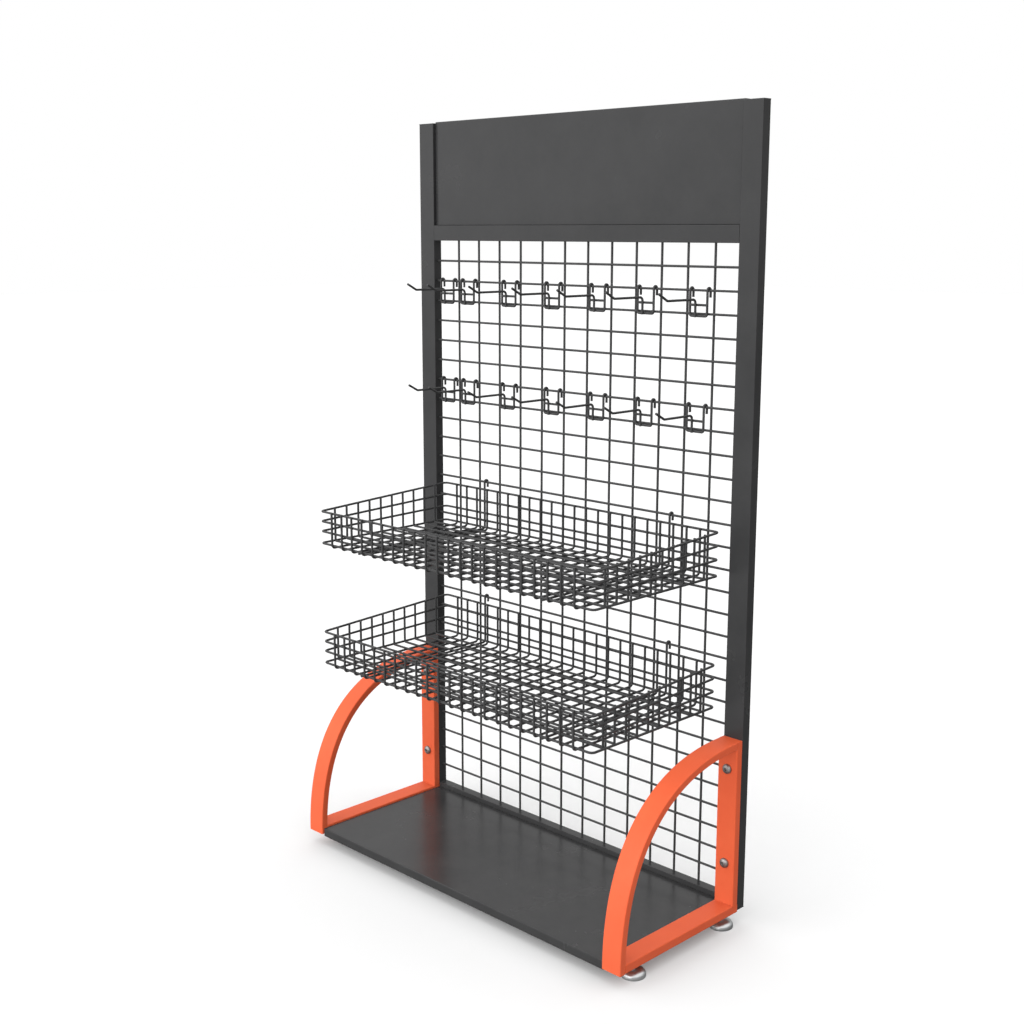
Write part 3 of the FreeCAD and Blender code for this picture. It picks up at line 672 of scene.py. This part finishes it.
def makeBentBarTree():
    # A rounded bar swept along one Bezier bend, its outer face on the bend
    tree, source, target = openTree("bentBar", [
        ("Start", "Vector"), ("Start Handle", "Vector"), ("End Handle", "Vector"),
        ("End", "Vector"), ("Steps", "Int"), ("Bar Width", "Float"),
        ("Bar Thickness", "Float"), ("Corner", "Float")])
    thickness = source.outputs["Bar Thickness"]
    path = addNode(tree, "GeometryNodeCurvePrimitiveBezierSegment", {
        "Resolution": source.outputs["Steps"], "Start": source.outputs["Start"],
        "Start Handle": source.outputs["Start Handle"],
        "End Handle": source.outputs["End Handle"], "End": source.outputs["End"]},
        mode="POSITION")
    section = addNode(tree, "GeometryNodeCurvePrimitiveQuadrilateral", {
        "Width": source.outputs["Bar Width"], "Height": thickness}, mode="RECTANGLE")
    eased = addNode(tree, "GeometryNodeFilletCurve", {
        "Curve": section.outputs[0], "Count": bentBar["cornerSteps"],
        "Radius": source.outputs["Corner"], "Limit Radius": True}, mode="POLY")
    aside = addNode(tree, "ShaderNodeCombineXYZ", {"Y": addMath(tree, "MULTIPLY", thickness, 0.5)})
    shifted = addNode(tree, "GeometryNodeTransform", {
        "Geometry": eased.outputs[0], "Translation": aside.outputs[0]})
    bar = addSweep(tree, path.outputs[0], shifted.outputs[0])
    return closeTree(tree, bar, source, target)


bentBarTree = makeBentBarTree()
for side in ("left", "right"):
    archLow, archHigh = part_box("support_arch_" + side)
    archMiddle = (archLow.x + archHigh.x) / 2
    start = Vector((archMiddle, archHigh.y, archHigh.z))
    end = Vector((archMiddle, archLow.y, archLow.z))
    barName = "bentBar" + side.capitalize()
    barMesh = grow(barName, bpy.data.meshes.new("bentBarSeed"), bentBarTree, {
        "Start": start, "Start Handle": start - Vector((0, bentBar["backReach"], 0)),
        "End Handle": end + Vector((0, 0, bentBar["frontReach"])), "End": end,
        "Steps": bentBar["steps"], "Bar Width": archHigh.x - archLow.x,
        "Bar Thickness": bentBar["thick"], "Corner": boxTube["corner"]["supportCoat"],
        "Finish": supportCoat})
    smoothByAngle(barMesh, sharpFrom["bentBar"], True)
    addPiece(barName, barMesh, supportCoat, "support_arch_" + side)
print("bent bars made")


# Turned and pressed hardware
def turned(name, profile, sides):
    # Spins a profile of (radius, height) round Z; radius 0 closes an end
    shape = bmesh.new()
    loops = []
    for radius, height in profile:
        loops.append([shape.verts.new((radius * math.cos(2 * math.pi * k / sides),
                                       radius * math.sin(2 * math.pi * k / sides), height))
                      for k in range(sides if radius else 1)])
    for loop, other in zip(loops, loops[1:]):
        bridge(shape, loop, other)
    mesh = meshFrom(shape, name)
    smoothByAngle(mesh, sharpFrom["turned"])
    return addObject(name, mesh)


def repeated(name, item, spots, turn, material, replaced):
    # One piece with a copy of the item on each spot
    seed = bpy.data.meshes.new(name + "Spots")
    seed.from_pydata(spots, [], [])
    angles = seed.attributes.new("turn", "FLOAT_VECTOR", "POINT")
    angles.data.foreach_set("vector", list(turn) * len(spots))
    mesh = grow(name, seed, repeatTree, {"Item": item, "Finish": material})
    bpy.data.objects.remove(item)
    return addPiece(name, mesh, material, replaced)


legLow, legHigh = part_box("support_leg_right")
supportMiddle = (legLow.x + legHigh.x) / 2

bolt = {"head": 11.25 * mm, "rim": 2.5 * mm, "crown": 8.0 * mm, "levels": (150.0 * mm, 372.0 * mm),
        "shank": 4.0 * mm, "long": 34.0 * mm, "tipEase": 0.6 * mm, "underEase": 0.4 * mm,
        "rimEase": 0.3 * mm, "socket": 3.4 * mm, "socketDeep": 4.0 * mm, "lipWide": 0.4 * mm,
        "lipTop": 0.1 * mm, "lipDeep": 0.5 * mm, "domeStep": 10, "sides": 40}
dome = [(bolt["head"] * math.cos(a), bolt["rim"] + (bolt["crown"] - bolt["rim"]) * math.sin(a))
        for a in [math.radians(d) for d in range(0, 90, bolt["domeStep"])]]
boltProfile = [
    (0, -bolt["long"]), (bolt["shank"] - bolt["tipEase"], -bolt["long"]),
    (bolt["shank"], -bolt["long"] + bolt["tipEase"]), (bolt["shank"], 0),
    (bolt["head"] - bolt["underEase"], 0), (bolt["head"], bolt["rimEase"]),
    *[point for point in dome if point[0] > bolt["socket"]],
    (bolt["socket"] + bolt["lipWide"], bolt["crown"] - bolt["lipTop"]),
    (bolt["socket"], bolt["crown"] - bolt["lipDeep"]),
    (bolt["socket"], bolt["crown"] - bolt["socketDeep"]), (0, bolt["crown"] - bolt["socketDeep"])]
boltItem = turned("boltItem", boltProfile, bolt["sides"])
boltSpots = [(x, legLow.y, z) for x in (-supportMiddle, supportMiddle) for z in bolt["levels"]]
repeated("supportBolts", boltItem, boltSpots, (math.radians(90), 0, 0), zincSteel, "support_bolts")

foot = {"radius": 27.5 * mm, "rim": 5.0 * mm, "edge": 0.8 * mm, "bellInset": 0.3 * mm,
        "bellPower": 0.9, "bellSteps": 10, "neck": 17.0 * mm, "neckRadius": 7.0 * mm,
        "stem": 5.0 * mm, "stemEase": 0.4 * mm, "stemStart": 0.5 * mm, "thread": 1.5 * mm,
        "threadDeep": 0.5 * mm, "tipEase": 1.0 * mm, "top": 47.0 * mm, "sides": 48,
        "spots": (-136.5 * mm, 167.5 * mm)}


def footProfile():
    # Flat pad, domed bell and a stem with grooves like a thread
    points = [(0, 0), (foot["radius"] - foot["edge"], 0), (foot["radius"], foot["edge"]),
              (foot["radius"], foot["rim"])]
    wide = foot["radius"] - foot["bellInset"] - foot["neckRadius"]
    tall = foot["neck"] - foot["rim"] - foot["edge"]
    for k in range(foot["bellSteps"] + 1):
        angle = k / foot["bellSteps"] * math.pi / 2
        points.append((foot["neckRadius"] + wide * math.cos(angle) ** foot["bellPower"],
                       foot["rim"] + foot["edge"] + tall * math.sin(angle)))
    z = foot["neck"] + foot["stemStart"]
    points.append((foot["stem"] - foot["stemEase"], z))
    while z < foot["top"] - 2 * foot["thread"]:
        points += [(foot["stem"], z + foot["thread"] * 0.5),
                   (foot["stem"] - foot["threadDeep"], z + foot["thread"])]
        z += foot["thread"]
    return points + [(foot["stem"] - foot["tipEase"], foot["top"]), (0, foot["top"])]


footItem = turned("footItem", footProfile(), foot["sides"])
footSpots = [(x, y, 0) for x in (-supportMiddle, supportMiddle) for y in foot["spots"]]
repeated("levellingFeet", footItem, footSpots, (0, 0, 0), footChrome, "levelling_feet")

lockNut = {"flats": 17.0 * mm, "bore": 5.2 * mm, "thick": 6.0 * mm, "chamfer": 0.9 * mm,
           "faceShare": 0.96, "sides": 48}


def hexNut(name, nut):
    # Six sided nut with its corners taken off at the top and bottom
    shape = bmesh.new()
    loops = []
    outer, face, sixth = nut["flats"] / 2, nut["flats"] / 2 * nut["faceShare"], math.pi / 3
    for radius, height, sixSided in (
            (nut["bore"], 0, False), (face, 0, False), (outer, nut["chamfer"], True),
            (outer, nut["thick"] - nut["chamfer"], True), (face, nut["thick"], False),
            (nut["bore"], nut["thick"], False)):
        loop = []
        for k in range(nut["sides"]):
            a = 2 * math.pi * k / nut["sides"]
            offFlat = (a + math.pi / 6) % sixth - math.pi / 6
            reach = radius / math.cos(offFlat) if sixSided else radius
            loop.append(shape.verts.new((reach * math.cos(a), reach * math.sin(a), height)))
        loops.append(loop)
    for loop, other in zip(loops, loops[1:] + loops[:1]):
        bridge(shape, loop, other)
    mesh = meshFrom(shape, name)
    smoothByAngle(mesh, sharpFrom["nut"])
    return addObject(name, mesh)


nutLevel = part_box("foot_lock_nuts")[0].z
nutSpots = [(x, y, nutLevel) for x, y, z in footSpots]
nutItem = hexNut("lockNutItem", lockNut)
repeated("lockNuts", nutItem, nutSpots, (0, 0, 0), footChrome, "foot_lock_nuts")
print("hardware made")

# CAD nodes that keep their own shape
kept = {"support_nuts": zincSteel, "foot_inner_nuts": zincSteel,
        "top_plug_left": plugPlastic, "top_plug_right": plugPlastic,
        "bottom_plug_left": plugPlastic, "bottom_plug_right": plugPlastic}
for name, material in kept.items():
    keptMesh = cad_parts[name].data
    keptMesh.materials.clear()
    keptMesh.materials.append(material)
print("kept nodes finished")

# Floor; seen directly it is near white, and what it throws back on the rack is dimmer
stage = {"size": 60.0, "bounceGrey": 0.36, "seenGrey": 0.87, "lift": 0.05, "rough": 0.9,
         "glossyFrom": (0.3, -1.2), "glossyGrey": (0.16, 0.90), "grain": 40.0,
         "grainDetail": 3.0, "grainShare": 0.008}


def makeFloorMaterial():
    material, tree, shader, place = newMaterial("paleFloor")
    shader.inputs["Roughness"].default_value = stage["rough"]
    shader.inputs["Specular IOR Level"].default_value = 0.0
    shader.inputs["Emission Color"].default_value = (1, 1, 1, 1)
    rays = tree.nodes.new("ShaderNodeLightPath").outputs
    direct = addMath(tree, "MAXIMUM", rays["Is Camera Ray"], rays["Is Transmission Ray"])
    seen = addMath(tree, "MULTIPLY", direct, stage["seenGrey"] - stage["bounceGrey"])
    # Painted reflection with painted shade: glossy rays see it bright in front of the rack and dim
    # behind it
    ahead = addNode(tree, "ShaderNodeSeparateXYZ", {"Vector": place}).outputs["Y"]
    glossy = addRange(tree, ahead, stage["glossyFrom"], stage["glossyGrey"])
    glossy = addMath(tree, "SUBTRACT", glossy, stage["bounceGrey"])
    grey = addMath(tree, "MULTIPLY", rays["Is Glossy Ray"], glossy)
    grey = addMath(tree, "ADD", grey, stage["bounceGrey"])
    grain = addNoise(tree, place, stage["grain"], stage["grainDetail"])
    grey = addMath(tree, "MULTIPLY_ADD", grain, stage["grainShare"],
                   addMath(tree, "ADD", grey, seen))
    tone = addNode(tree, "ShaderNodeCombineColor", {"Red": grey, "Green": grey, "Blue": grey})
    tree.links.new(tone.outputs[0], shader.inputs["Base Color"])
    lift = addMath(tree, "MULTIPLY", direct, stage["lift"])
    tree.links.new(lift, shader.inputs["Emission Strength"])
    return material


floorMesh = bpy.data.meshes.new("floor")
edge = stage["size"] / 2
floorMesh.from_pydata([(-edge, -edge, 0), (edge, -edge, 0), (edge, edge, 0), (-edge, edge, 0)],
                      [], [(0, 1, 2, 3)])
floorMesh.materials.append(makeFloorMaterial())
floor = addObject("floor", floorMesh)

# World; white where it is seen, a paler grey in reflections and dim as light on the rack
ambient = {"strength": 0.28, "seen": 1.0, "glossyShare": 0.45}
world = bpy.data.worlds.new("studio")
scene.world = world
world.use_nodes = True
worldTree = world.node_tree
background = worldTree.nodes["Background"].inputs
worldRays = worldTree.nodes.new("ShaderNodeLightPath").outputs
shown = addMath(worldTree, "MULTIPLY", worldRays["Is Glossy Ray"], ambient["glossyShare"])
for ray in ("Is Camera Ray", "Is Transmission Ray"):
    shown = addMath(worldTree, "MAXIMUM", shown, worldRays[ray])
shown = addRange(worldTree, shown, unit, (ambient["strength"], ambient["seen"]))
worldTree.links.new(shown, background["Strength"])
background["Color"].default_value = (1, 1, 1, 1)

# Two wide lamps; only the top one casts a shadow
lampDistance = 3.0
lamps = {"key": {"from": (-0.26, -1.0, 0.13), "spread": 80.0, "strength": 2.3, "shadow": False},
         "top": {"from": (0.0, -0.15, 1.0), "spread": 140.0, "strength": 2.45, "shadow": True}}
for label, lamp in lamps.items():
    light = bpy.data.lights.new(label, "SUN")
    light.angle = math.radians(lamp["spread"])
    light.energy = lamp["strength"]
    light.use_shadow = lamp["shadow"]
    holder = addObject(label, light)
    holder.location = Vector(lamp["from"]) * lampDistance
    holder.rotation_euler = Vector(lamp["from"]).to_track_quat("Z", "Y").to_euler()

view = {"place": (2.25758, -2.25642, 1.53855), "pitch": -11.251, "yaw": 45.011, "lens": 50.0,
        "sensor": 36.0, "farClip": 100.0}
camera = addObject("camera", bpy.data.cameras.new("camera"))
camera.location = view["place"]
camera.rotation_euler = (math.radians(90 + view["pitch"]), 0, math.radians(view["yaw"]))
camera.data.lens = view["lens"]
camera.data.sensor_width = view["sensor"]
camera.data.clip_end = view["farClip"]
scene.camera = camera
scene.view_settings.view_transform = "Standard"
print("stage, lamps and camera set")
